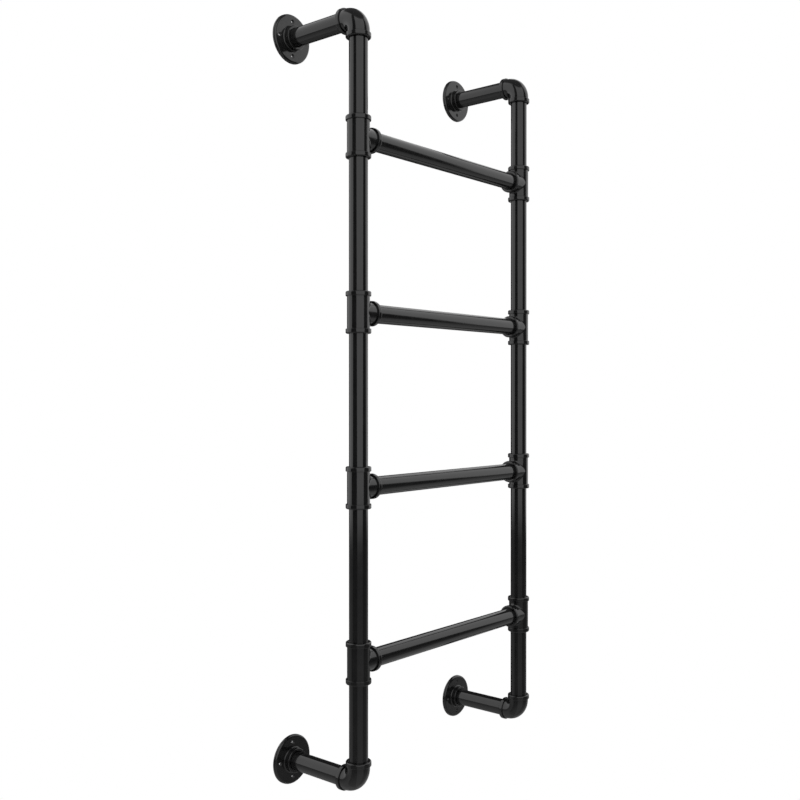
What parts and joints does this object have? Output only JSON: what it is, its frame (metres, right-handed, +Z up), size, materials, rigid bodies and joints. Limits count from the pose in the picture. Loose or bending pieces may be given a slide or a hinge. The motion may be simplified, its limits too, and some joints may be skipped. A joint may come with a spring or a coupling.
{
  "type": "pipe towel rack",
  "caption": "Wall-hung pipe ladder for towels: gloss black screwed rails and rungs with beaded tees and elbows, held off the wall by standoffs on round flanges.",
  "frame": {"origin": "middle of the four wall flanges, on the wall plane that their flat backs lie in", "axes": "+Z up along the rails, +Y into the wall, +X along the rungs, to the right for someone facing the wall"},
  "size_m": [0.5942, 0.1925, 1.4204],
  "materials": {
    "pipe": "gloss black",
    "fitting": "gloss black",
    "flange": "gloss black"
  },
  "bodies": {
    "root": {"flange_top_left": "flange", "standoff_pipe_top_left": "pipe", "elbow_top_left": "fitting", "flange_bottom_left": "flange", "standoff_pipe_bottom_left": "pipe", "elbow_bottom_left": "fitting", "flange_top_right": "flange", "standoff_pipe_top_right": "pipe", "elbow_top_right": "fitting", "flange_bottom_right": "flange", "standoff_pipe_bottom_right": "pipe", "elbow_bottom_right": "fitting", "rail_pipe_1_left": "pipe", "rail_pipe_2_left": "pipe", "rail_pipe_3_left": "pipe", "rail_pipe_4_left": "pipe", "rail_pipe_5_left": "pipe", "tee_1_left": "fitting", "tee_2_left": "fitting", "tee_3_left": "fitting", "tee_4_left": "fitting", "rail_pipe_1_right": "pipe", "rail_pipe_2_right": "pipe", "rail_pipe_3_right": "pipe", "rail_pipe_4_right": "pipe", "rail_pipe_5_right": "pipe", "tee_1_right": "fitting", "tee_2_right": "fitting", "tee_3_right": "fitting", "tee_4_right": "fitting", "rung_1": "pipe", "rung_2": "pipe", "rung_3": "pipe", "rung_4": "pipe"}
  },
  "joints": []
}
